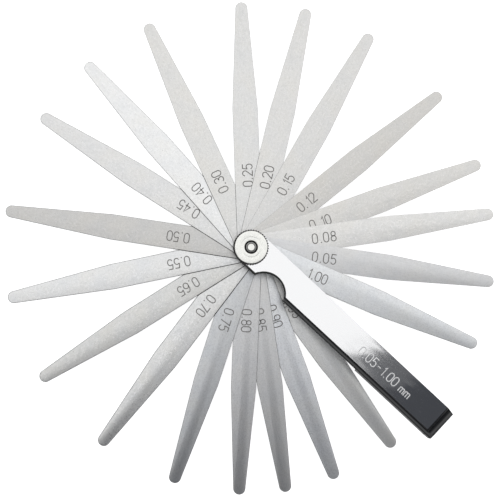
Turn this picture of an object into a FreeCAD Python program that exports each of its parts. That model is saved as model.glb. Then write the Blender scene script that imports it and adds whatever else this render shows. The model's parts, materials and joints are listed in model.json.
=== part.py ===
"""Feeler gauge: twenty tapered spring-steel leaves that turn on one screw, in a folded sheet-steel case.

Frame: the origin is on the pivot axis, at the underside of the screw head, which is the face the tool lies on.
+Z runs up the pivot towards the knurled nut, +X runs along the case to its far end, and +Y is the case's open side.
Every leaf stands fanned out at its own angle about +Z, counted from +X.
"""
import FreeCAD, Part
import os
from math import cos, sin, tan, pi, radians, degrees, sqrt, atan2

V = FreeCAD.Vector
UP = V(0, 0, 1)

# ---- driving dimensions, in mm ----
# Leaves: (nominal thickness, angle from the case), from the top of the stack down.
LEAVES = [
    (1.00, 19.71), (0.05, 35.01), (0.08, 51.01), (0.10, 63.10), (0.12, 81.90),
    (0.15, 103.50), (0.20, 119.61), (0.25, 135.01), (0.30, 157.63), (0.40, 174.57),
    (0.45, 190.67), (0.50, 214.30), (0.55, 234.75), (0.65, 255.00), (0.70, 275.68),
    (0.75, 294.82), (0.80, 310.45), (0.85, 321.47), (0.90, 333.43), (0.95, 349.10),
]
LEAF_GAP = 0.03          # running gap between one leaf and the next
LEAF_HALF_WIDTH = 4.9    # parallel part of a leaf
LEAF_SHOULDER = 54.0     # where the taper starts, from the pivot
LEAF_TIP_REACH = 95.0    # pivot to tip; with the 4.9 mm round head that is a 100 mm leaf
LEAF_TIP_R = 2.35
LEAF_HOLE_R = 2.55

HEAD_R = 5.5             # flat round head of the pivot screw
HEAD_T = 1.5
SHANK_R = 2.5
THREAD_R = 2.0           # M4 end, over the thread
NECK_SIDE = 5.0          # square neck that keeps the screw from turning in the case
CORE_FLAT_R = 1.3        # flat on the chamfered end of the screw

SHEET = 0.9              # thickness of the case's sheet
CASE_HALF_WIDTH = 6.7
CASE_END = 101.0         # pivot to the outside of the far end
END_BEND_R = 3.0         # outer radius of the bends at the far end
SIDE_BEND_R = 2.0        # outer radius of the bends along the spine
NOTCH_X, NOTCH_Y, NOTCH_R = 15.8, -9.6, 7.9   # thumb notch
WINDOW_END = 62.0        # the spine is open from the notch to here
WINDOW_CORNER_R = 2.0
SEAM = 0.3               # open corner between the spine and the end wall
TAPER_START, TAPER_IN = 97.6, 0.45            # the end band narrows a little on the open side

WASHER_R, WASHER_HOLE_R, WASHER_T = 4.5, 2.1, 0.4
NUT_R, NUT_T = 6.8, 3.5
NUT_TEETH = 42
NUT_TOOTH_DEPTH = 0.42
NUT_BORE_R = 2.06
NUT_MOUTH_R = 2.6
NUT_CHAMFER = 0.35
SCREW_PROUD = 0.15       # screw end above the nut's top face

# ---- levels along the pivot ----
Z_CASE = HEAD_T
Z_STACK = Z_CASE + SHEET
STACK = sum(t for t, _ in LEAVES) + LEAF_GAP * (len(LEAVES) + 1)
Z_TOP_IN = Z_STACK + STACK
Z_TOP = Z_TOP_IN + SHEET
Z_NUT = Z_TOP + WASHER_T
Z_NUT_TOP = Z_NUT + NUT_T
Z_SCREW_END = Z_NUT_TOP + SCREW_PROUD

os.makedirs("parts", exist_ok=True)


def save(name, shape):
    if not shape.isValid():
        raise ValueError(name + " is not a valid solid")
    shape.exportStep("parts/" + name + ".step")
    print(name, "volume %.2f mm3" % shape.Volume, "solids", len(shape.Solids))


def cylinder(r, z0, z1, x=0.0, y=0.0):
    return Part.makeCylinder(r, z1 - z0, V(x, y, z0), UP)


def box(x0, x1, y0, y1, z0, z1):
    return Part.makeBox(x1 - x0, y1 - y0, z1 - z0, V(x0, y0, z0))


def edges_along(shape, test):
    return [e for e in shape.Edges if test(e)]


def both_at(e, axis, value, tol=1e-4):
    return all(abs(getattr(v.Point, axis) - value) < tol for v in e.Vertexes)


# ---- the case: one folded sheet ----
W = CASE_HALF_WIDTH
ZB, ZT = Z_CASE, Z_TOP


def fold(x0, x1, y0, y1, z0, z1, r_end, r_side):
    """A block with its two far-end bends and its two spine-side bends rounded."""
    b = box(x0, x1, y0, y1, z0, z1)
    ends = [e for e in b.Edges if both_at(e, "x", x1) and (both_at(e, "z", z0) or both_at(e, "z", z1))]
    sides = [e for e in b.Edges if both_at(e, "y", y0) and (both_at(e, "z", z0) or both_at(e, "z", z1))]
    b = b.makeFillet(r_end, ends)
    sides = [e for e in b.Edges
             if abs(e.BoundBox.YMin - y0) < 1e-4 and abs(e.BoundBox.YMax - y0) < 1e-4
             and e.BoundBox.XMax - e.BoundBox.XMin > 0.6 * (x1 - x0)]
    return b.makeFillet(r_side, sides)


outer = fold(NOTCH_X, CASE_END, -W, W, ZB, ZT, END_BEND_R, SIDE_BEND_R)
inner = fold(NOTCH_X - 1, CASE_END - SHEET, -W + SHEET, W + 5, ZB + SHEET, ZT - SHEET,
             END_BEND_R - SHEET, SIDE_BEND_R - SHEET)
sleeve = outer.cut(inner)


def cheek(z0, z1):
    """Head end of one cheek: a round head about the pivot that runs into the neck."""
    return cylinder(W, z0, z1).fuse(box(0, NOTCH_X + 0.0, -W, W, z0, z1))


case = sleeve.fuse([cheek(ZB, ZB + SHEET), cheek(ZT - SHEET, ZT)]).removeSplitter()
case = case.cut(cylinder(NOTCH_R, ZB - 1, ZT + 1, NOTCH_X, NOTCH_Y))
# Window: the spine and the lower bend are blanked away beside the notch, so that the lower leaves can swing past.
window = box(NOTCH_X, WINDOW_END, -W - 1, -W + SIDE_BEND_R, ZB - 1, ZT - SIDE_BEND_R)
far = [e for e in window.Edges if both_at(e, "x", WINDOW_END) and both_at(e, "z", ZT - SIDE_BEND_R)]
window = window.makeFillet(WINDOW_CORNER_R, far)
case = case.cut(window)
# Seam at the corner where the spine meets the end wall.
case = case.cut(box(CASE_END - END_BEND_R - SEAM, CASE_END - END_BEND_R, -W - 1, -W + SIDE_BEND_R,
                    ZB + SIDE_BEND_R, ZT - SIDE_BEND_R))
# The end band narrows slightly on the open side.
wedge = Part.Face(Part.makePolygon([V(TAPER_START, W, 0), V(CASE_END + 1, W + 1, 0), V(CASE_END + 1, W - TAPER_IN * (CASE_END + 1 - TAPER_START) / (CASE_END - TAPER_START), 0),
                                    V(TAPER_START, W, 0)])).extrude(V(0, 0, 30))
case = case.cut(wedge)
# Holes on the pivot: square below for the screw's neck, round above for its shank.
case = case.cut(box(-NECK_SIDE / 2 - 0.05, NECK_SIDE / 2 + 0.05, -NECK_SIDE / 2 - 0.05, NECK_SIDE / 2 + 0.05, ZB - 1, ZB + SHEET + 0.5))
case = case.cut(cylinder(SHANK_R + 0.1, ZT - SHEET - 0.5, ZT + 1))
if len(case.Solids) != 1:
    raise ValueError("the case is not one solid")
case = case.Solids[0]
save("case", case)

# ---- the pivot screw: flat head, square neck, shank, threaded end with a chamfer ----
chamfer = THREAD_R - CORE_FLAT_R
z_thread = Z_TOP - 0.3
head = cylinder(HEAD_R, 0, HEAD_T)
rim = [e for e in head.Edges if both_at(e, "z", 0) and isinstance(e.Curve, Part.Circle)]
head = head.makeChamfer(0.3, rim)
neck = box(-NECK_SIDE / 2, NECK_SIDE / 2, -NECK_SIDE / 2, NECK_SIDE / 2, HEAD_T, HEAD_T + SHEET - 0.05)
shank = cylinder(SHANK_R, HEAD_T, z_thread)
threaded = cylinder(THREAD_R, z_thread, Z_SCREW_END - chamfer)
tip = Part.makeCone(THREAD_R, CORE_FLAT_R, chamfer, V(0, 0, Z_SCREW_END - chamfer), UP)
screw = head.fuse([neck, shank, threaded, tip]).removeSplitter()
screw = screw.Solids[0]
save("pivot_screw", screw)

# ---- washer under the nut ----
washer = cylinder(WASHER_R, Z_TOP + 0.02, Z_NUT).cut(cylinder(WASHER_HOLE_R, Z_TOP - 1, Z_NUT + 1))
save("washer", washer.Solids[0])

# ---- knurled nut ----
z0, z1 = Z_NUT + 0.02, Z_NUT_TOP
c = NUT_CHAMFER
profile = Part.makePolygon([V(0, 0, z0), V(NUT_R - c, 0, z0), V(NUT_R, 0, z0 + c), V(NUT_R, 0, z1 - c), V(NUT_R - c, 0, z1), V(0, 0, z1), V(0, 0, z0)])
nut = Part.Face(profile).revolve(V(0, 0, 0), UP, 360)
nut = nut.cut(cylinder(NUT_BORE_R, z0 - 1, z1 + 1))
mouth = NUT_MOUTH_R - NUT_BORE_R
nut = nut.cut(Part.makeCone(NUT_BORE_R, NUT_MOUTH_R + 0.2, mouth + 0.2, V(0, 0, z1 - mouth), UP))
flutes = []
for i in range(NUT_TEETH):
    a = 2 * pi * i / NUT_TEETH
    half = pi / NUT_TEETH
    r_in, r_out = NUT_R - NUT_TOOTH_DEPTH, NUT_R + 0.3
    w_out = half * (NUT_TOOTH_DEPTH + 0.3) / NUT_TOOTH_DEPTH * 0.92
    p = [V(r_in * cos(a), r_in * sin(a), z0 - 1), V(r_out * cos(a - w_out), r_out * sin(a - w_out), z0 - 1),
         V(r_out * cos(a + w_out), r_out * sin(a + w_out), z0 - 1)]
    flutes.append(Part.Face(Part.makePolygon(p + [p[0]])).extrude(V(0, 0, z1 - z0 + 2)))
nut = nut.cut(Part.makeCompound(flutes))
save("knurled_nut", nut.Solids[0])


# ---- the leaves ----
def leaf_face():
    """One leaf along +X: round head, parallel sides, straight taper, round tip."""
    h, s = LEAF_HALF_WIDTH, LEAF_SHOULDER
    cx, r = LEAF_TIP_REACH - LEAF_TIP_R, LEAF_TIP_R
    # Tangent from the shoulder point to the tip circle.
    dx, dy = cx - s, -h
    d = sqrt(dx * dx + dy * dy)
    a = atan2(dy, dx) + math_asin(r / d)
    length = sqrt(d * d - r * r)
    tx, ty = s + length * cos(a), h + length * sin(a)
    up = [V(0, h, 0), V(s, h, 0), V(tx, ty, 0)]
    down = [V(tx, -ty, 0), V(s, -h, 0), V(0, -h, 0)]
    edges = [Part.makeLine(up[0], up[1]), Part.makeLine(up[1], up[2]),
             Part.Arc(up[2], V(LEAF_TIP_REACH, 0, 0), down[0]).toShape(),
             Part.makeLine(down[0], down[1]), Part.makeLine(down[1], down[2]),
             Part.Arc(down[2], V(-h, 0, 0), up[0]).toShape()]
    hole = Part.Wire([Part.makeCircle(LEAF_HOLE_R, V(0, 0, 0), UP)])
    return Part.Face(Part.Wire(edges)).cut(Part.Face(hole)).Faces[0], degrees(-a)


def math_asin(v):
    return atan2(v, sqrt(1 - v * v))


face, slope = leaf_face()
print("taper half angle %.2f degrees" % slope)
z = Z_TOP_IN
levels = {}
for thickness, angle in LEAVES:
    z -= LEAF_GAP + thickness
    leaf = face.extrude(V(0, 0, thickness))
    leaf.translate(V(0, 0, z))
    leaf.rotate(V(0, 0, 0), UP, angle)
    name = "leaf_" + ("%.2f" % thickness).replace(".", "_")
    levels[name] = (z, z + thickness)
    save(name, leaf)
print("stack %.2f  case %.2f to %.2f  nut top %.2f" % (STACK, ZB, ZT, Z_NUT_TOP))
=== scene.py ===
"""Looks of the feeler gauge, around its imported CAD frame. Metres, same frame as the CAD."""
import json
from math import cos, sin, tan, pi, radians, atan2, asin, hypot

import bmesh
import bpy
from mathutils import Matrix, Vector


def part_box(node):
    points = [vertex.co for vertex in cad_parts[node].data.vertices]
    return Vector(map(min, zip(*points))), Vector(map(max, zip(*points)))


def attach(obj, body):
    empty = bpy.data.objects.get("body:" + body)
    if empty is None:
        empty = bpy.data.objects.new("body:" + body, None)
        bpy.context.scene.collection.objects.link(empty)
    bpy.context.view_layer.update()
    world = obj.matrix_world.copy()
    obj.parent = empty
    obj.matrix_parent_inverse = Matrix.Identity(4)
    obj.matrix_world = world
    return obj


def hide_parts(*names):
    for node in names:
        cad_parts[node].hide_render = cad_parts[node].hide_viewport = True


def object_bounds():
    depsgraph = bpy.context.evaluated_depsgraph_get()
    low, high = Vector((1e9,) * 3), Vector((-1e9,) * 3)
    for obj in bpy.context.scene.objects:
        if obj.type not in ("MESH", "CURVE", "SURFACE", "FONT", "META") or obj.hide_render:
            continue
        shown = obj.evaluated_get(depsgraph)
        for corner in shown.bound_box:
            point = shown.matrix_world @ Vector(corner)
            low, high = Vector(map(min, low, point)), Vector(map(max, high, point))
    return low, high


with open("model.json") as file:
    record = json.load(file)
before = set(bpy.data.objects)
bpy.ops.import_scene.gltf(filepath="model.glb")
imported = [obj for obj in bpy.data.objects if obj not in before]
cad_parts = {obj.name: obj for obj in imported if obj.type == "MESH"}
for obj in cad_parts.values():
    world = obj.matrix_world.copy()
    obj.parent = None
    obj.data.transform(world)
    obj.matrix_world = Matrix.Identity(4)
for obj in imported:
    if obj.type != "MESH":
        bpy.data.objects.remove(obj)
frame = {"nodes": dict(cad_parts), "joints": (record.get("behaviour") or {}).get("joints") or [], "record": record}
CAD_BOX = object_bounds()
NODES, RECORD = frame["nodes"], frame["record"]
MM = 0.001

scene = bpy.context.scene
scene.view_settings.view_transform = "Standard"

# Angle of each leaf about +Z at rest, from the joints: each hinge's low limit is the leaf shut in the case.
ANGLE = {j["child"]: -j["range_deg"][0] for j in frame["joints"] if j["child"].startswith("leaf_")}
LEAVES = sorted(ANGLE, key=lambda n: -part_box(n)[1].z)  # from the top of the stack down


# ---------------------------------------------------------------- materials
def new_material(name):
    m = bpy.data.materials.new(name)
    m.use_nodes = True
    t = m.node_tree
    for n in list(t.nodes):
        if n.type != "OUTPUT_MATERIAL" and n.type != "BSDF_PRINCIPLED":
            t.nodes.remove(n)
    return m, t, next(n for n in t.nodes if n.type == "BSDF_PRINCIPLED")


def node(t, kind, **inputs):
    n = t.nodes.new(kind)
    for k, v in inputs.items():
        if k.startswith("_"):
            setattr(n, k[1:], v)
        else:
            n.inputs[k.replace("__", " ")].default_value = v
    return n


def coords(t, angle=0.0, scale=(1, 1, 1)):
    """Object coordinates in millimetres, turned so that x runs along a leaf, then stretched."""
    tc = node(t, "ShaderNodeTexCoord")
    turn = node(t, "ShaderNodeMapping")
    turn.inputs["Rotation"].default_value = (0, 0, -angle)
    turn.inputs["Scale"].default_value = (1000, 1000, 1000)
    t.links.new(tc.outputs["Object"], turn.inputs["Vector"])
    st = node(t, "ShaderNodeMapping")
    st.inputs["Scale"].default_value = scale
    t.links.new(turn.outputs["Vector"], st.inputs["Vector"])
    return st.outputs["Vector"]


def noise(t, vec, scale, detail=3.0, rough=0.5):
    n = node(t, "ShaderNodeTexNoise", Scale=scale, Detail=detail, Roughness=rough)
    t.links.new(vec, n.inputs["Vector"])
    return n.outputs["Fac"]


def ramp(t, fac, stops, interp="LINEAR"):
    r = node(t, "ShaderNodeValToRGB")
    r.color_ramp.interpolation = interp
    els = r.color_ramp.elements
    while len(els) < len(stops):
        els.new(0.5)
    for e, (p, c) in zip(els, stops):
        e.position = p
        e.color = (c, c, c, 1) if isinstance(c, (int, float)) else (*c, 1)
    t.links.new(fac, r.inputs["Fac"])
    return r.outputs["Color"]


def math(t, op, a, b):
    n = node(t, "ShaderNodeMath", _operation=op)
    for i, v in enumerate((a, b)):
        if isinstance(v, (int, float)):
            n.inputs[i].default_value = v
        else:
            t.links.new(v, n.inputs[i])
    return n.outputs[0]


def mix_color(t, fac, a, b, blend="MIX"):
    n = node(t, "ShaderNodeMix", _data_type="RGBA", _blend_type=blend)
    for key, v in (("Factor", fac), ("A", a), ("B", b)):
        sock = next(s for s in n.inputs if s.name == key and (s.type == "RGBA" if key != "Factor" else s.type == "VALUE"))
        if isinstance(v, (int, float)):
            sock.default_value = v
        elif isinstance(v, tuple):
            sock.default_value = (*v, 1)
        else:
            t.links.new(v, sock)
    return next(s for s in n.outputs if s.type == "RGBA")


def bump(t, height, strength, distance, normal=None):
    b = node(t, "ShaderNodeBump", Strength=strength, Distance=distance)
    t.links.new(height, b.inputs["Height"])
    if normal is not None:
        t.links.new(normal, b.inputs["Normal"])
    return b.outputs["Normal"]


def leaf_material(name, angle, tone, tint=(1.0, 1.0, 1.0), mottle=0.05, rough=0.40):
    """Ground spring steel: fine grain along the leaf over a soft mottle, with a few specks, stains and fine scratches."""
    m, t, p = new_material(name)
    along = coords(t, angle, (0.30, 1.6, 1.0))
    even = coords(t, angle)
    grain = noise(t, along, 1.5, 3.0, 0.6)
    mott = noise(t, even, 1.15, 4.0, 0.75)
    cloud = noise(t, even, 0.13, 3.0, 0.55)
    pits = noise(t, even, 1.9, 1.0, 0.5)
    scr = noise(t, coords(t, angle + radians(4), (0.05, 5.0, 1.0)), 2.0, 1.0, 0.5)
    up = 1.0 / (1.0 - mottle) / (1.0 - 1.0 * mottle)
    base = tuple(min(1.0, tone * c * up) for c in tint)
    c1 = ramp(t, mott, [(0.26, tuple((1 - 2.4 * mottle) * c for c in base)), (0.50, tuple((1 - mottle) * c for c in base)), (0.74, base)])
    c2 = ramp(t, grain, [(0.28, 0.93), (0.48, 0.985), (0.70, 1.0)])
    col = mix_color(t, 1.0, c1, c2, "MULTIPLY")
    fine = noise(t, even, 2.7, 2.0, 0.6)
    col = mix_color(t, 1.0, col, ramp(t, fine, [(0.30, 1.0 - 3.6 * mottle), (0.48, 1.0 - 0.8 * mottle), (0.66, 1.0)]), "MULTIPLY")
    c3 = ramp(t, cloud, [(0.30, (0.965, 0.972, 0.985)), (0.52, (1.0, 1.0, 1.0)), (0.75, (1.0, 0.992, 0.975))])
    col = mix_color(t, 1.0, col, c3, "MULTIPLY")
    col = mix_color(t, 1.0, col, ramp(t, pits, [(0.17, 0.55), (0.235, 1.0)]), "MULTIPLY")
    col = mix_color(t, 1.0, col, ramp(t, scr, [(0.22, 0.90), (0.28, 1.0)]), "MULTIPLY")
    t.links.new(col, p.inputs["Base Color"])
    p.inputs["Metallic"].default_value = 1.0
    r = ramp(t, mott, [(0.28, min(1.0, rough + 0.09)), (0.52, rough), (0.78, rough - 0.06)])
    t.links.new(r, p.inputs["Roughness"])
    h = math(t, "ADD", math(t, "MULTIPLY", grain, 0.8), math(t, "MULTIPLY", mott, 0.5))
    t.links.new(bump(t, h, 0.30, 0.00003), p.inputs["Normal"])
    return m


def edge_material(name, dark, light):
    """Blanked and tumbled edge of a leaf: duller and darker than its ground faces. Its dark and mid versions go where a
    leaf lies over the next, as painted shade.
    """
    m, t, p = new_material(name)
    n = noise(t, coords(t), 3.0, 3.0, 0.6)
    t.links.new(ramp(t, n, [(0.30, (dark, dark, dark)), (0.68, (light, light, 0.98 * light))]), p.inputs["Base Color"])
    p.inputs["Metallic"].default_value = 1.0
    t.links.new(ramp(t, n, [(0.3, 0.46), (0.7, 0.34)]), p.inputs["Roughness"])
    t.links.new(bump(t, n, 0.25, 0.00003), p.inputs["Normal"])
    return m


def dark_material(name, dark, light, rough, scale=2.4, metal=1.0, spec=0.5):
    """Dark, unpolished steel: threads, flutes and cut edges. On the nut's knurl and the case's rolled rims its darkness
    is painted shade.
    """
    m, t, p = new_material(name)
    n = noise(t, coords(t), scale, 4.0, 0.6)
    t.links.new(ramp(t, n, [(0.30, dark), (0.68, light)]), p.inputs["Base Color"])
    p.inputs["Metallic"].default_value = metal
    p.inputs["Specular IOR Level"].default_value = spec
    t.links.new(ramp(t, n, [(0.3, rough + 0.12), (0.7, rough)]), p.inputs["Roughness"])
    t.links.new(bump(t, n, 0.25, 0.00003), p.inputs["Normal"])
    return m


def polished_material(name="polished_nickel", extra=0.0, shade=1.0):
    """Bright nickel plate: nearly a mirror, with the long soft waves of rolled sheet and fine handling scratches."""
    m, t, p = new_material(name)
    even = coords(t)
    waves = noise(t, coords(t, 0.0, (0.4, 1.0, 1.0)), 0.12, 2.0, 0.45)
    fine = noise(t, even, 3.0, 4.0, 0.6)
    scr = noise(t, coords(t, radians(8), (0.12, 9.0, 1.0)), 2.2, 2.0, 0.5)
    scratch = ramp(t, scr, [(0.66, 0.0), (0.74, 1.0)])
    # shade scales the plate's colour; below 1 it is a painted dark reflection.
    col = ramp(t, fine, [(0.30, (0.765 * shade, 0.765 * shade, 0.77 * shade)), (0.60, (0.815 * shade, 0.815 * shade, 0.815 * shade))])
    t.links.new(col, p.inputs["Base Color"])
    p.inputs["Metallic"].default_value = 1.0
    r = math(t, "ADD", ramp(t, fine, [(0.3, 0.085 + extra), (0.7, 0.055 + extra)]), math(t, "MULTIPLY", scratch, 0.08))
    t.links.new(r, p.inputs["Roughness"])
    n1 = bump(t, waves, 0.30, 0.00035)
    t.links.new(bump(t, fine, 0.05, 0.00002, n1), p.inputs["Normal"])
    return m


def turned_material():
    """Plated turned steel: fine rings about the pivot."""
    m, t, p = new_material("turned_plated")
    even = coords(t)
    w = node(t, "ShaderNodeTexWave", _wave_type="RINGS", _rings_direction="Z", Scale=1.35, Distortion=0.35, Detail=2.0)
    w.inputs["Detail Scale"].default_value = 2.0
    t.links.new(even, w.inputs["Vector"])
    speck = noise(t, even, 2.2, 3.0, 0.6)
    col = ramp(t, speck, [(0.30, (0.745, 0.745, 0.71)), (0.62, (0.84, 0.84, 0.80))])
    t.links.new(col, p.inputs["Base Color"])
    p.inputs["Metallic"].default_value = 1.0
    t.links.new(ramp(t, speck, [(0.3, 0.32), (0.7, 0.24)]), p.inputs["Roughness"])
    t.links.new(bump(t, w.outputs["Fac"], 0.12, 0.00003), p.inputs["Normal"])
    return m


def screw_material():
    m, t, p = new_material("screw_steel")
    even = coords(t)
    speck = noise(t, even, 2.6, 3.0, 0.6)
    t.links.new(ramp(t, speck, [(0.30, (0.62, 0.62, 0.61)), (0.65, (0.78, 0.78, 0.77))]), p.inputs["Base Color"])
    p.inputs["Metallic"].default_value = 1.0
    t.links.new(ramp(t, speck, [(0.3, 0.30), (0.7, 0.20)]), p.inputs["Roughness"])
    t.links.new(bump(t, speck, 0.10, 0.00003), p.inputs["Normal"])
    return m


def etch_material(name, dark, light, rough):
    m, t, p = new_material(name)
    even = coords(t)
    n = noise(t, even, 5.0, 3.0, 0.7)
    t.links.new(ramp(t, n, [(0.32, dark), (0.68, light)]), p.inputs["Base Color"])
    p.inputs["Metallic"].default_value = 0.25
    t.links.new(ramp(t, n, [(0.3, rough), (0.7, rough + 0.15)]), p.inputs["Roughness"])
    t.links.new(bump(t, n, 0.3, 0.00003), p.inputs["Normal"])
    return m


# ---------------------------------------------------------------- mesh helpers
def add_piece(name, bm, body, material, smooth=radians(30)):
    bmesh.ops.recalc_face_normals(bm, faces=bm.faces)
    me = bpy.data.meshes.new(name)
    bm.to_mesh(me)
    bm.free()
    for mat in (material if isinstance(material, (list, tuple)) else [material]):
        me.materials.append(mat)
    o = bpy.data.objects.new(name, me)
    scene.collection.objects.link(o)
    for poly in me.polygons:
        poly.use_smooth = True
    me.set_sharp_from_angle(angle=smooth)
    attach(o, body)
    return o


def lathe_section(bm, rings, index=0):
    """Faces between successive rings of vertices of the same length."""
    for a, b in zip(rings, rings[1:]):
        n = len(a)
        for i in range(n):
            bm.faces.new((a[i], a[(i + 1) % n], b[(i + 1) % n], b[i])).material_index = index


# ---------------------------------------------------------------- leaves
HALF, SHOULDER, REACH, TIP_R, HOLE_R = 4.9, 54.0, 95.0, 2.35, 2.55


def leaf_outline(inset):
    """Closed outline of a leaf along +x, in mm, counter-clockwise, drawn in by inset. Always the same number of points."""
    h, r, cx = HALF, TIP_R, REACH - TIP_R
    d = hypot(cx - SHOULDER, h)
    a = atan2(-h, cx - SHOULDER) + asin(r / d)
    nx, ny = -sin(a), cos(a)
    # Meet of y = h - k with the tapered line through (SHOULDER, h), both moved in by k.
    k = inset
    sx = SHOULDER - k * (1 - ny) / nx
    pts = []
    for i in range(49):  # round tip, from the lower tangent to the upper one
        u = -(pi / 2 + a) + (pi + 2 * a) * i / 48
        pts.append((cx + (r - k) * cos(u), (r - k) * sin(u)))
    p0, p1 = pts[-1], (sx, h - k)
    for i in range(1, 13):
        f = i / 12
        pts.append((p0[0] + (p1[0] - p0[0]) * f, p0[1] + (p1[1] - p0[1]) * f))
    for i in range(1, 25):
        pts.append((sx * (1 - i / 24), h - k))
    for i in range(1, 72):
        u = pi / 2 + pi * i / 72
        pts.append(((h - k) * cos(u), (h - k) * sin(u)))
    for i in range(0, 12):
        pts.append((sx * i / 12, -(h - k)))
    p2 = pts[0]
    for i in range(0, 12):
        f = i / 12
        pts.append((sx + (p2[0] - sx) * f, -(h - k) + (p2[1] + (h - k)) * f))
    return pts


def build_leaf(name, material):
    lo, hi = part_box(name)
    z0, z1 = lo.z / MM, hi.z / MM
    t = z1 - z0
    r = min(0.30 if EDGE_OF.get(name, "dark") == "dark" else 0.16, 0.46 * t)
    ang = radians(ANGLE[name])
    ca, sa = cos(ang), sin(ang)
    bm = bmesh.new()

    def ring(pts, z):
        return [bm.verts.new(((x * ca - y * sa) * MM, (x * sa + y * ca) * MM, z * MM)) for x, y in pts]

    steps = 6
    outer = []
    for i in range(steps + 1):  # bottom edge, then top edge
        u = pi / 2 * i / steps
        outer.append(ring(leaf_outline(r * (1 - sin(u))), z0 + r * (1 - cos(u))))
    for i in range(steps + 1):
        u = pi / 2 * i / steps
        outer.append(ring(leaf_outline(r * (1 - cos(u))), z1 - r * (1 - sin(u))))
    lathe_section(bm, outer, 1)
    n = len(outer[0])
    flat = leaf_outline(r)
    rh = min(0.05, 0.4 * t)
    raw = [atan2(y, x) for x, y in flat]
    un = [raw[0]]
    for q in raw[1:]:
        while q < un[-1] - 1e-12:
            q += 2 * pi
        un.append(q)
    # The hole's points follow the outline's bearings, made more even where the leaf is long.
    bearings = [0.35 * a + 0.65 * (un[0] + 2 * pi * i / n) for i, a in enumerate(un)]

    def hole(rad, z):
        return ring([(rad * cos(q), rad * sin(q)) for q in bearings], z)

    top_in, bot_in = hole(HOLE_R + rh, z1), hole(HOLE_R + rh, z0)
    top_wall, bot_wall = hole(HOLE_R, z1 - rh), hole(HOLE_R, z0 + rh)
    lathe_section(bm, [outer[-1], top_in, top_wall, bot_wall, bot_in, outer[0]])
    # The edge where it lies over the next leaf takes the darker edge steel: painted shade for the shadow between the
    # leaves.
    k = LEAVES.index(name)
    if k + 1 < len(LEAVES):
        end = HALF / tan(radians(ANGLE[LEAVES[k + 1]] - ANGLE[name]) / 2) + 1.0
        for f in bm.faces:
            if f.material_index == 1:
                c = f.calc_center_median() / MM
                x, y = c.x * ca + c.y * sa, c.y * ca - c.x * sa
                if y > 0 and x < end:
                    f.material_index = 2
    o = add_piece(name + "_ground", bm, name, material)
    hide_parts(name)
    return o


# ---------------------------------------------------------------- figures
W, H = 1.95, 3.75  # cell of a figure between stroke centres, mm


def arc(cx, cy, rx, ry, a0, a1, n=20):
    return [(cx + rx * cos(radians(a0 + (a1 - a0) * i / n)), cy + ry * sin(radians(a0 + (a1 - a0) * i / n))) for i in range(n + 1)]


def glyph(c):
    """Strokes of a figure: (points, closed). Origin at the left of the baseline."""
    w, h, m = W, H, W / 2
    if c == "0":
        k = h / 2 - m * 1.15
        return [(arc(m, h - m * 1.15, m, m * 1.15, 0, 180, 16) + arc(m, m * 1.15, m, m * 1.15, 180, 360, 16), True)]
    if c == "1":
        return [([(0.35 * w, 0.78 * h), (0.62 * w, h), (0.62 * w, 0)], False)]
    if c == "2":
        return [(arc(m, h - m, m, m, 170, -28, 16) + [(0.02 * w, 0.0), (w, 0.0)], False)]
    if c == "3":
        return [(arc(m, h * 0.75, m * 0.92, h * 0.25, 150, -85, 14), False), (arc(m, h * 0.26, m, h * 0.26, 88, -150, 16), False)]
    if c == "4":
        return [([(0.74 * w, 0), (0.74 * w, h), (0.0, 0.30 * h), (w, 0.30 * h)], False)]
    if c == "5":
        return [([(0.95 * w, h), (0.16 * w, h), (0.06 * w, 0.56 * h)] + arc(m, 0.31 * h, m, 0.31 * h, 128, -148, 20), False)]
    if c == "6":
        return [(arc(m, 0.30 * h, m, 0.30 * h, 0, 360, 28)[:-1], True), ([(0.03 * w, 0.36 * h)] + arc(m * 1.12, 0.60 * h, m * 1.06, 0.40 * h, 172, 52, 12), False)]
    if c == "7":
        return [([(0.0, h), (w, h), (0.34 * w, 0)], False)]
    if c == "8":
        return [(arc(m, 0.755 * h, m * 0.84, 0.235 * h, 0, 360, 26)[:-1], True), (arc(m, 0.27 * h, m, 0.27 * h, 0, 360, 28)[:-1], True)]
    if c == "9":
        return [(arc(m, 0.70 * h, m, 0.30 * h, 0, 360, 28)[:-1], True), ([(0.97 * w, 0.64 * h)] + arc(m * 0.88, 0.40 * h, m * 1.06, 0.40 * h, -8, -128, 12), False)]
    if c == "-":
        return [([(0.15 * w, 0.48 * h), (0.95 * w, 0.48 * h)], False)]
    if c == "m":
        x = 0.56 * h
        q = w * 0.27
        return [([(0, 0), (0, x)], False),
                ([(0, x * 0.6)] + arc(q, x - q, q, q, 180, 0, 10) + [(2 * q, 0)], False),
                ([(2 * q, x * 0.6)] + arc(3 * q, x - q, q, q, 180, 0, 10) + [(4 * q, 0)], False)]
    return []


ADVANCE = {".": 1.45, "1": 1.95, " ": 1.4, "m": 2.75}


def text_width(s, gap=0.62):
    return sum((ADVANCE.get(c, W + gap)) for c in s) - gap


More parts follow.
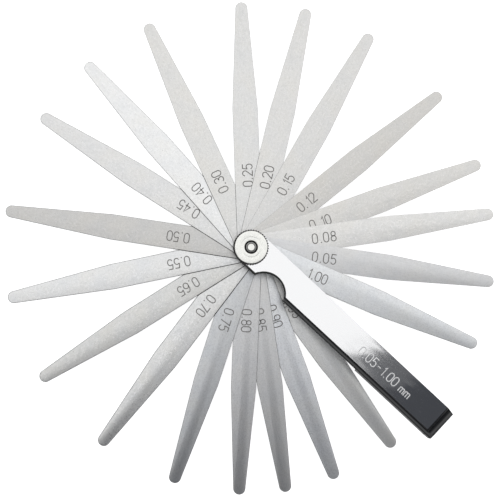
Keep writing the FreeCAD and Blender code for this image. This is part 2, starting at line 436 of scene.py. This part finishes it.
def stroke(bm, pts, closed, w, place, z0, z1):
    """A flat closed ribbon along pts, w wide, between z0 and z1."""
    n = len(pts)
    left, right = [], []
    for i in range(n):
        a = pts[i - 1] if (i > 0 or closed) else pts[i]
        b = pts[(i + 1) % n] if (i < n - 1 or closed) else pts[i]
        p = pts[i]
        d1 = (p[0] - a[0], p[1] - a[1])
        d2 = (b[0] - p[0], b[1] - p[1])
        l1, l2 = hypot(*d1), hypot(*d2)
        d1 = (d1[0] / l1, d1[1] / l1) if l1 > 1e-9 else None
        d2 = (d2[0] / l2, d2[1] / l2) if l2 > 1e-9 else None
        d1, d2 = d1 or d2, d2 or d1
        t = (d1[0] + d2[0], d1[1] + d2[1])
        lt = hypot(*t)
        t = (t[0] / lt, t[1] / lt) if lt > 1e-6 else d2
        nrm = (-t[1], t[0])
        c = max(0.45, nrm[0] * -d1[1] + nrm[1] * d1[0])
        k = w / 2 / c
        e = (0, 0)
        if not closed and i == 0:
            e = (-d2[0] * w * 0.3, -d2[1] * w * 0.3)
        if not closed and i == n - 1:
            e = (d1[0] * w * 0.3, d1[1] * w * 0.3)
        left.append((p[0] + nrm[0] * k + e[0], p[1] + nrm[1] * k + e[1]))
        right.append((p[0] - nrm[0] * k + e[0], p[1] - nrm[1] * k + e[1]))
    v = [[bm.verts.new(place(x, y, z)) for x, y in side] for side, z in ((left, z1), (right, z1), (right, z0), (left, z0))]
    for i in range(n if closed else n - 1):
        j = (i + 1) % n
        for k in range(4):
            a, b = v[k], v[(k + 1) % 4]
            bm.faces.new((a[i], a[j], b[j], b[i]))
    if not closed:
        bm.faces.new([v[k][0] for k in range(4)])
        bm.faces.new([v[k][-1] for k in (3, 2, 1, 0)])


def dot(bm, cx, cy, r, place, z0, z1, n=14):
    top = [bm.verts.new(place(cx + r * cos(2 * pi * i / n), cy + r * sin(2 * pi * i / n), z1)) for i in range(n)]
    bot = [bm.verts.new(place(cx + r * cos(2 * pi * i / n), cy + r * sin(2 * pi * i / n), z0)) for i in range(n)]
    bm.faces.new(top)
    bm.faces.new(bot[::-1])
    lathe_section(bm, [top, bot])


def write(bm, text, place, z0, z1, w, scale=1.0, gap=0.62):
    """text centred on the origin of place's x, y, in mm."""
    x = -text_width(text, gap) / 2
    for c in text:
        if c == ".":
            dot(bm, (x + 0.38) * scale, (0.10 - H / 2) * scale, w * 0.72, place, z0, z1)
        for pts, closed in glyph(c):
            stroke(bm, [((x + a) * scale, (b - H / 2) * scale) for a, b in pts], closed, w, place, z0, z1)
        x += ADVANCE.get(c, W + gap)


FIGURES_AT = 28.0  # mm from the pivot to the middle of the figures
SHIFT = {"leaf_0_05": 0.75, "leaf_0_08": 0.75, "leaf_0_10": 0.75, "leaf_0_75": 1.1}
SPREAD = {"leaf_0_05": 0.92, "leaf_0_08": 0.92, "leaf_0_10": 0.92}


def build_figures(name, material):
    z1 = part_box(name)[1].z / MM
    t = z1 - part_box(name)[0].z / MM
    ang = radians(ANGLE[name])
    ca, sa = cos(ang), sin(ang)

    def place(x, y, z):
        x += FIGURES_AT + SHIFT.get(name, 0.0)
        return ((x * ca - y * sa) * MM, (x * sa + y * ca) * MM, z * MM)

    bm = bmesh.new()
    write(bm, name[5:].replace("_", "."), place, z1 - min(0.01, t * 0.3), z1 + 0.008, 0.34,
          gap=SPREAD.get(name, 0.62))
    return add_piece(name + "_figures", bm, name, material)


# tone of each leaf's steel and its tint, from the top of the stack down
TONES = {
    "leaf_1_00": (0.755, (0.975, 0.99, 1.0)), "leaf_0_05": (0.635, (1, 1, 1.0)), "leaf_0_08": (0.69, (1.0, 0.99, 0.965)),
    "leaf_0_10": (0.635, (1.0, 0.985, 0.95)), "leaf_0_12": (0.585, (1.0, 0.98, 0.94)), "leaf_0_15": (0.645, (1.0, 0.99, 0.965)),
    "leaf_0_20": (0.66, (1.0, 0.99, 0.965)), "leaf_0_25": (0.665, (1.0, 0.995, 0.975)), "leaf_0_30": (0.67, (1.0, 0.99, 0.96)),
    "leaf_0_40": (0.77, (1.0, 1.0, 0.99)), "leaf_0_45": (0.685, (1.0, 0.995, 0.98)), "leaf_0_50": (0.55, (1.0, 0.985, 0.955)),
    "leaf_0_55": (0.72, (1.0, 1.0, 0.99)), "leaf_0_65": (0.64, (1.0, 0.995, 0.97)), "leaf_0_70": (0.70, (1.0, 0.998, 0.985)),
    "leaf_0_75": (0.60, (0.97, 0.985, 1.0)), "leaf_0_80": (0.61, (0.995, 0.995, 1.0)), "leaf_0_85": (0.60, (1.0, 1.0, 1.0)),
    "leaf_0_90": (0.73, (0.965, 0.98, 1.0)), "leaf_0_95": (0.71, (1.0, 1.0, 0.985)),
}
MOTTLE = {"leaf_1_00": 0.045, "leaf_0_65": 0.04, "leaf_0_70": 0.045, "leaf_0_75": 0.05, "leaf_0_80": 0.055, "leaf_0_85": 0.055, "leaf_0_90": 0.06, "leaf_0_95": 0.065}
ROUGH = {"leaf_1_00": 0.34, "leaf_0_05": 0.32, "leaf_0_75": 0.32, "leaf_0_80": 0.33, "leaf_0_85": 0.33, "leaf_0_90": 0.33, "leaf_0_95": 0.33}
# The dark and mid edge steels are painted shade for the shadow where one leaf lies over the next; the bright one is the
# edges' own steel.
EDGES = {"dark": edge_material("leaf_edge", 0.03, 0.08), "mid": edge_material("leaf_edge_mid", 0.24, 0.36), "bright": edge_material("leaf_edge_bright", 0.46, 0.62)}
EDGE_OF = {"leaf_1_00": "bright", "leaf_0_05": "bright", "leaf_0_08": "bright", "leaf_0_10": "mid", "leaf_0_12": "mid", "leaf_0_15": "mid",
           "leaf_0_75": "mid", "leaf_0_80": "mid", "leaf_0_85": "mid", "leaf_0_90": "mid", "leaf_0_95": "mid"}
etched = etch_material("etched_figures", (0.10, 0.095, 0.09), (0.20, 0.19, 0.18), 0.5)
for leaf in LEAVES:
    tone, tint = TONES[leaf]
    steel = leaf_material(leaf + "_steel", radians(ANGLE[leaf]), tone, tint, MOTTLE.get(leaf, 0.03), ROUGH.get(leaf, 0.29))
    build_leaf(leaf, [steel, EDGES["bright"], EDGES[EDGE_OF.get(leaf, "dark")]])
    build_figures(leaf, etched)

# ---------------------------------------------------------------- case, screw, washer, nut
polished, turned, screwed = polished_material(), turned_material(), screw_material()
# The bends' plate, its colour darkened to 0.12 of the flat plate's: painted dark reflection of the room around.
bend_painted_dark = polished_material("bend_nickel_painted_dark", 0.06, 0.12)
# Near-black steel for the case's cut faces, and painted shade on its rolled rim by the notch and neck and on the open
# side's rim.
cut_edge_and_painted_shade = dark_material("case_cut_edge_and_painted_shade", (0.03, 0.03, 0.03), (0.08, 0.08, 0.077), 0.38)
# Near-black knurl steel: painted shade for the flutes and the rim's edges.
flutes = dark_material("nut_knurl_painted_shade", (0.008, 0.008, 0.007), (0.035, 0.033, 0.03), 0.42, metal=0.2, spec=0.25)
thread = dark_material("thread_dark", (0.03, 0.03, 0.028), (0.12, 0.118, 0.11), 0.36)
faced = dark_material("screw_chamfer", (0.22, 0.22, 0.215), (0.36, 0.36, 0.35), 0.34)


def circle(bm, radii, z):
    n = len(radii)
    zs = z if isinstance(z, (list, tuple)) else [z] * n
    return [bm.verts.new((r * cos(2 * pi * i / n) * MM, r * sin(2 * pi * i / n) * MM, zz * MM)) for i, (r, zz) in enumerate(zip(radii, zs))]


def build_nut():
    """Clamping nut: straight-knurled rim, rounded and bevelled edges, a turned ring in its face and a countersunk mouth."""
    lo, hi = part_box("knurled_nut")
    z0, z1 = lo.z / MM, hi.z / MM
    teeth, per = 42, 8
    n = teeth * per
    tip, root = 6.79, 6.39
    shape = [0.0, 0.16, 0.74, 0.97, 1.0, 0.97, 0.74, 0.16]   # from a flute's bottom over a tooth's rounded top

    def knurl(cap, z):
        return circle(bm, [min(cap, root + (tip - root) * shape[i % per]) for i in range(n)], z)

    def ring(r, z):
        return circle(bm, [r] * n, z)

    bm = bmesh.new()
    bore = [ring(2.06, z0 + 0.5), ring(2.06, z1 - 0.56), ring(2.10, z1 - 0.50), ring(2.54, z1 - 0.055), ring(2.60, z1 - 0.012)]
    top = [bore[-1], ring(2.66, z1), ring(3.68, z1), ring(3.73, z1 - 0.006), ring(3.79, z1 - 0.028), ring(3.85, z1 - 0.036),
           ring(3.91, z1 - 0.028), ring(3.97, z1 - 0.006), ring(4.02, z1), ring(6.10, z1), ring(6.19, z1 - 0.010), ring(6.25, z1 - 0.04)]
    rim = [top[-1], ring(6.32, z1 - 0.11), knurl(6.44, z1 - 0.20), knurl(6.62, z1 - 0.30), knurl(6.74, z1 - 0.42), knurl(9, z1 - 0.56)]
    side = [rim[-1]] + [knurl(9, z1 - 0.56 - (z1 - z0 - 1.12) * i / 4) for i in range(1, 5)]
    under = [side[-1], knurl(6.74, z0 + 0.42), knurl(6.62, z0 + 0.30), knurl(6.46, z0 + 0.20), ring(6.355, z0 + 0.11), ring(6.25, z0 + 0.02),
             ring(6.14, z0), ring(2.60, z0), ring(2.45, z0 + 0.12), bore[0]]
    lathe_section(bm, bore, 2)
    lathe_section(bm, top, 0)
    # The knurled rim, its sides and its under edge take the near-black knurl steel: painted shade.
    lathe_section(bm, rim, 1)
    lathe_section(bm, side, 1)
    lathe_section(bm, under[:5], 1)
    lathe_section(bm, under[4:], 0)
    o = add_piece("clamp_nut", bm, "nut", [turned, flutes, thread], radians(40))
    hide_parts("knurled_nut")


def build_screw():
    """Pivot screw: chamfered flat head, square neck, shank, cut thread and a faced end."""
    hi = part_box("pivot_screw")[1].z / MM
    n = 96
    bm = bmesh.new()

    def ring(r, z):
        return circle(bm, [r] * n, z)

    def square(h, z):
        return circle(bm, [min(h / max(abs(cos(2 * pi * i / n)), abs(sin(2 * pi * i / n))), h * 1.36) for i in range(n)], z)

    head = [ring(0.05, 0.0), ring(1.2, 0.0), ring(1.28, 0.012), ring(1.36, 0.0), ring(5.12, 0.0), ring(5.20, 0.015), ring(5.44, 0.25),
            ring(5.49, 0.32), ring(5.495, 1.30), ring(5.46, 1.42), ring(5.38, 1.49), ring(5.28, 1.5), ring(3.3, 1.5)]
    body = [head[-1], square(2.44, 1.505), square(2.44, 2.30), ring(2.44, 2.34), ring(2.49, 2.42), ring(2.49, 12.9), ring(2.35, 13.05), ring(1.99, 13.08)]
    z_a, z_b = 13.12, hi - 0.52
    rows = int((z_b - z_a) / 0.07)
    thr = [body[-1]]
    for k in range(rows + 1):
        z = z_a + (z_b - z_a) * k / rows
        radii = []
        for i in range(n):
            ph = (z / 0.7 - i / n) % 1.0
            radii.append(1.99 - 0.30 * max(0.0, min(1.0, abs(2 * ph - 1) * 1.5 - 0.2)))
        thr.append(circle(bm, radii, z))
    end = [thr[-1], ring(1.99, hi - 0.40), ring(1.95, hi - 0.36), ring(1.56, hi - 0.29), ring(1.50, hi - 0.30), ring(1.33, hi - 0.06), ring(1.28, hi - 0.01), ring(0.5, hi - 0.012), ring(0.05, hi - 0.016)]
    lathe_section(bm, head + body[1:], 0)
    lathe_section(bm, thr, 1)
    lathe_section(bm, end[:3], 1)
    lathe_section(bm, end[2:4], 2)
    lathe_section(bm, end[3:6], 1)
    lathe_section(bm, end[5:], 3)
    bm.faces.new(end[-1])
    bm.faces.new(head[0][::-1]).material_index = 0
    o = add_piece("pivot_screw_turned", bm, "case_body", [screwed, thread, faced, turned], radians(35))
    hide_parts("pivot_screw")


def build_washer():
    lo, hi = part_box("washer")
    z0, z1 = lo.z / MM, hi.z / MM
    n, e = 120, 0.08
    bm = bmesh.new()
    rings = []
    for r, z in ((2.1, z0 + e), (2.1 + e, z0), (4.5 - e, z0), (4.5 - 0.3 * e, z0 + 0.3 * e), (4.5, z0 + e), (4.5, z1 - e), (4.5 - 0.3 * e, z1 - 0.3 * e),
                 (4.5 - e, z1), (2.1 + e, z1), (2.1, z1 - e)):
        rings.append(circle(bm, [r] * n, z))
    lathe_section(bm, rings + [rings[0]])
    o = add_piece("flat_washer", bm, "washer", screwed)
    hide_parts("washer")


NOTCH = Vector((15.8, -9.6))


def build_case():
    """The folded case with its cut edges rounded and duller steel showing where the sheet was cut; its rolled rim by
    the notch and neck and its open side's rim take that dark steel as painted shade.
    """
    lo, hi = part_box("case")
    zb, zt = lo.z / MM, hi.z / MM
    bm = bmesh.new()
    bm.from_mesh(NODES["case"].data)
    bmesh.ops.remove_doubles(bm, verts=bm.verts, dist=2e-6)
    bmesh.ops.dissolve_limit(bm, angle_limit=radians(0.3), verts=bm.verts, edges=bm.edges)
    def sharp(test):
        out = []
        for e in bm.edges:
            if len(e.link_faces) == 2 and e.calc_face_angle() > radians(35):
                a, b = (v.co / MM for v in e.verts)
                if test((a + b) / 2, abs(a.z - b.z)):
                    out.append(e)
        return out

    # The end wall is a flap of its own, so the corner it makes with the spine is square in plan.
    for v in bm.verts:
        dx, dy = v.co.x / MM - 99.0, -4.7 - v.co.y / MM
        if dx > 1e-4 and dy > 1e-4:
            k = 1 + 0.86 * (hypot(dx, dy) / max(dx, dy) - 1)
            v.co.x, v.co.y = (99.0 + dx * k) * MM, (-4.7 - dy * k) * MM

    # The sheet's outer faces roll down more where they were blanked and polished; the rest is only deburred.
    def spine_side(m):
        near_notch = (Vector((m.x, m.y)) - NOTCH).length < 8.0
        return near_notch or (m.x < 9 and m.y < 5.0 and m.x < 1 + abs(m.y) and Vector((m.x, m.y)).length > 6.5)

    wide = sharp(lambda m, dz: dz < 0.01 and (abs(m.z - zt) < 0.01 or abs(m.z - zb) < 0.01) and spine_side(m))
    bmesh.ops.bevel(bm, geom=wide, offset=0.00084, offset_type="OFFSET", segments=8, profile=0.5, affect="EDGES", clamp_overlap=False)
    rolled = sharp(lambda m, dz: dz < 0.01 and (abs(m.z - zt) < 0.01 or abs(m.z - zb) < 0.01) and not spine_side(m))
    bmesh.ops.bevel(bm, geom=rolled, offset=0.00030, offset_type="OFFSET", segments=4, profile=0.5, affect="EDGES", clamp_overlap=True)
    rest = sharp(lambda m, dz: True)
    bmesh.ops.bevel(bm, geom=rest, offset=0.00004, offset_type="OFFSET", segments=2, profile=0.5, affect="EDGES", clamp_overlap=True)
    # Press mark across the top where the end was folded.
    for x, d in ((97.30, 0.0), (97.58, -0.034), (97.86, 0.0)):
        cut = bmesh.ops.bisect_plane(bm, geom=list(bm.verts) + list(bm.edges) + list(bm.faces), dist=1e-7, plane_co=(x * MM, 0, 0), plane_no=(1, 0, 0))
        for g in cut["geom_cut"]:
            if isinstance(g, bmesh.types.BMVert) and g.co.z > (zt - 0.002) * MM:
                g.co.z += d * MM
    bmesh.ops.recalc_face_normals(bm, faces=bm.faces)
    for f in bm.faces:
        c = f.calc_center_median() / MM
        in_sheet = c.z > zt - 0.95 or c.z < zb + 0.95
        # The rolled rim by the notch and the neck is painted near-black: painted shade for the shadow under the sheet's
        # edge.
        rolled_rim_painted_shade = abs(f.normal.z) < 0.97 and in_sheet and (
            (Vector((c.x, c.y)) - NOTCH).length < 8.75 or (c.x < 9 and c.y < 5 and Vector((c.x, c.y)).length > 5.9))
        on_cut = (Vector((c.x, c.y)) - NOTCH).length < 8.05 or c.y > 6.0 or (c.x < 14 and Vector((c.x, c.y)).length > 6.4 and c.x < 8)
        if f.material_index == 0 and 0.12 < f.normal.z < 0.9995 and (c.x > 97.0 or c.y < -4.7):
            f.material_index = 2   # painted dark reflection: the bends' faces take the plate darkened to 0.12
        # The open side's rounded rim is painted dark too: a painted dark reflection.
        open_rim_painted_dark = c.y > 6.2 and c.x < 58 and in_sheet and abs(f.normal.z) < 0.93 and abs(f.normal.x) < 0.5
        f.material_index = 1 if (abs(f.normal.z) < 0.35 and in_sheet and on_cut) or rolled_rim_painted_shade or open_rim_painted_dark else f.material_index
        if abs(f.normal.z) < 0.35 and not in_sheet and abs(abs(f.normal.y)) < 0.35 and c.x < 100.0:
            f.material_index = 1   # the window's and the seam's edges
    o = add_piece("folded_case", bm, "case_body", [polished, cut_edge_and_painted_shade, bend_painted_dark], radians(32))
    w = o.modifiers.new("keep_flats_flat", "WEIGHTED_NORMAL")
    w.keep_sharp = True
    w.weight = 100
    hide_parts("case")
    return o


def bead(bm, pts, closed, w, h, place, z):
    """A low rounded ridge along pts, sunk a little into the face at z."""
    section = [(-1, -0.4), (-0.95, 0.12), (-0.55, 0.75), (0, 1.0), (0.55, 0.75), (0.95, 0.12), (1, -0.4)]
    n = len(pts)
    rows = []
    for i in range(n):
        a = pts[i - 1] if (i > 0 or closed) else pts[i]
        b = pts[(i + 1) % n] if (i < n - 1 or closed) else pts[i]
        p = pts[i]
        d = [(p[0] - a[0], p[1] - a[1]), (b[0] - p[0], b[1] - p[1])]
        d = [(x / hypot(x, y), y / hypot(x, y)) for x, y in d if hypot(x, y) > 1e-9]
        t = (sum(x for x, _ in d), sum(y for _, y in d))
        lt = hypot(*t) or 1.0
        t = (t[0] / lt, t[1] / lt)
        k = w / 2 / max(0.45, t[0] * d[0][0] + t[1] * d[0][1])
        rows.append([bm.verts.new(place(p[0] - t[1] * k * u, p[1] + t[0] * k * u, z + h * v)) for u, v in section])
    m = len(section)
    for i in range(n if closed else n - 1):
        j = (i + 1) % n
        for k in range(m):
            bm.faces.new((rows[i][k], rows[j][k], rows[j][(k + 1) % m], rows[i][(k + 1) % m]))
    if not closed:
        bm.faces.new(rows[0])
        bm.faces.new(rows[-1][::-1])


def build_marking():
    """The set's range, raised on the case."""
    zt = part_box("case")[1].z / MM
    text, scale, x = "0.05-1.00 mm", 0.98, 0.0
    bm = bmesh.new()

    def place(px, py, z):
        return ((70.5 + px) * MM, (0.1 + py) * MM, z * MM)

    x = -text_width(text) / 2
    for c in text:
        if c == ".":
            bead(bm, [((x + 0.38 + 0.12 * cos(q * pi / 6)) * scale, (0.12 - H / 2 + 0.12 * sin(q * pi / 6)) * scale) for q in range(12)], True, 0.26, 0.06, place, zt)
        for pts, closed in glyph(c):
            bead(bm, [((x + a) * scale, (b - H / 2) * scale) for a, b in pts], closed, 0.46, 0.07, place, zt)
        x += ADVANCE.get(c, W + 0.62)
    return add_piece("case_marking", bm, "case_body", marked, radians(50))


marked = polished_material("pressed_marking", 0.16)
build_case()
build_marking()
build_washer()
build_nut()
build_screw()

# ---------------------------------------------------------------- floor, light and camera
lo, hi = CAD_BOX


def floor():
    bm = bmesh.new()
    bmesh.ops.create_grid(bm, x_segments=2, y_segments=2, size=6.0)
    me = bpy.data.meshes.new("floor")
    bm.to_mesh(me)
    bm.free()
    o = bpy.data.objects.new("floor", me)
    o.location = (0, 0, lo.z - 0.00005)
    scene.collection.objects.link(o)
    m, t, p = new_material("floor_white")
    vec = coords(t)
    n = noise(t, vec, 0.01, 2.0, 0.5)
    t.links.new(ramp(t, n, [(0.3, 0.90), (0.7, 0.93)]), p.inputs["Base Color"])
    p.inputs["Roughness"].default_value = 0.9
    p.inputs["Specular IOR Level"].default_value = 0.1
    p.inputs["Emission Color"].default_value = (1, 1, 1, 1)
    p.inputs["Emission Strength"].default_value = 0.85
    me.materials.append(m)
    o.visible_glossy = False   # the steel sees the dark room below the horizon, not the paper it lies on
    return o


floor()


def area(name, at, aim, size, radiance, camera=False):
    """A soft rectangular light of an even radiance."""
    d = bpy.data.lights.new(name, "AREA")
    d.shape = "RECTANGLE"
    d.size, d.size_y = size
    d.energy = radiance * size[0] * size[1] * pi
    o = bpy.data.objects.new(name, d)
    o.location = at
    o.rotation_mode = "QUATERNION"
    o.rotation_quaternion = (Vector(aim) - Vector(at)).to_track_quat("-Z", "Y")
    o.visible_camera = camera
    scene.collection.objects.link(o)
    return o


world = bpy.data.worlds.new("studio")
world.use_nodes = True
bg = world.node_tree.nodes["Background"]
# The room: dim overhead beyond the softbox, pale walls towards the horizon.
wt = world.node_tree
wc = wt.nodes.new("ShaderNodeTexCoord")
ws = wt.nodes.new("ShaderNodeSeparateXYZ")
wt.links.new(wc.outputs["Generated"], ws.inputs["Vector"])
hue = ramp(wt, ws.outputs["Z"], [(0.0, (0.97, 0.98, 1.0)), (0.70, (0.97, 0.98, 1.0)), (0.90, (0.82, 0.87, 1.0))])
wt.links.new(hue, bg.inputs["Color"])
above = ramp(wt, ws.outputs["Z"], [(0.0, 0.72), (0.35, 0.72), (0.62, 0.48), (0.80, 0.16), (0.90, 0.078), (1.0, 0.078)])
below = ramp(wt, math(wt, "MULTIPLY", ws.outputs["Z"], -1.0), [(0.0, 0.50), (0.15, 0.26), (1.0, 0.16)])
level = math(wt, "ADD", math(wt, "MULTIPLY", above, math(wt, "GREATER_THAN", ws.outputs["Z"], 0.0)),
             math(wt, "MULTIPLY", below, math(wt, "LESS_THAN", ws.outputs["Z"], 0.0)))
wt.links.new(level, bg.inputs["Strength"])
scene.world = world

# The softbox hangs low over the tool; its near edge lies across the case, so that its bright reflection ends there.
EDGE_AT = Vector((0.0772, 0.0197, 0.0))
OUT = Vector((0.87, -0.49, 0.0)).normalized()   # towards the dark side
ALONG = Vector((-OUT.y, OUT.x, 0.0))
HEIGHT, DEPTH, WIDTH = 0.30, 0.33, 0.54
centre = EDGE_AT - OUT * (DEPTH / 2) + Vector((0, 0, HEIGHT))
soft = area("softbox", centre, centre - Vector((0, 0, 1)), (DEPTH, WIDTH), 1.10)
soft.rotation_quaternion = Matrix((OUT, ALONG, Vector((0, 0, 1)))).transposed().to_quaternion()
# Its frame's dim border, beyond that edge.
SPILL = 0.022
centre = EDGE_AT + OUT * (SPILL / 2) + Vector((0, 0, HEIGHT + 0.001))
spill = area("softbox_border", centre, centre - Vector((0, 0, 1)), (SPILL, WIDTH), 0.085)
spill.rotation_quaternion = soft.rotation_quaternion
# Fills beyond the edge, either side of the dark gap that the polished case mirrors.
for name, o0, o1, a0, a1, radiance in (("fill_open_side", 0.001, 0.050, 0.055, 0.130, 0.85), ("fill_spine_side", 0.001, 0.120, -0.046, -0.008, 0.60)):
    centre = EDGE_AT + OUT * ((o0 + o1) / 2) + ALONG * ((a0 + a1) / 2) + Vector((0, 0, HEIGHT))
    fill = area(name, centre, centre - Vector((0, 0, 1)), (o1 - o0, a1 - a0), radiance)
    fill.rotation_quaternion = soft.rotation_quaternion
area("fill_far", (0.230, 0.200, HEIGHT), (0.230, 0.200, 0.0), (0.31, 0.145), 0.85).rotation_quaternion = Matrix(((1, 0, 0), (0, 1, 0), (0, 0, 1))).to_quaternion() @ Matrix.Rotation(pi / 2, 3, "Z").to_quaternion()

# Camera: a long lens nearly straight above, leaning a little to the spine side.
TILT = Vector((-0.01128, -0.06698, 1.0)).normalized()
ROLL = radians(43.0256)
TARGET = Vector((0, 0, 0.0076))
DIST, SCALE, PPX, PPY = 1.08, 2.59155, 249.788, 248.170
cam_data = bpy.data.cameras.new("camera")
cam_data.sensor_width = 36.0
cam_data.lens = 36.0 * (SCALE * DIST * 1000) / 500.0
cam_data.shift_x = -(PPX - 250.0) / 500.0
cam_data.shift_y = (PPY - 250.0) / 500.0
cam_data.clip_start, cam_data.clip_end = 0.01, 30.0
cam = bpy.data.objects.new("camera", cam_data)
scene.collection.objects.link(cam)
scene.camera = cam
right = Vector((cos(ROLL), sin(ROLL), 0))
right = (right - TILT * right.dot(TILT)).normalized()
up = TILT.cross(right)
cam.rotation_mode = "QUATERNION"
cam.rotation_quaternion = Matrix((right, up, TILT)).transposed().to_quaternion()
cam.location = TARGET + TILT * DIST
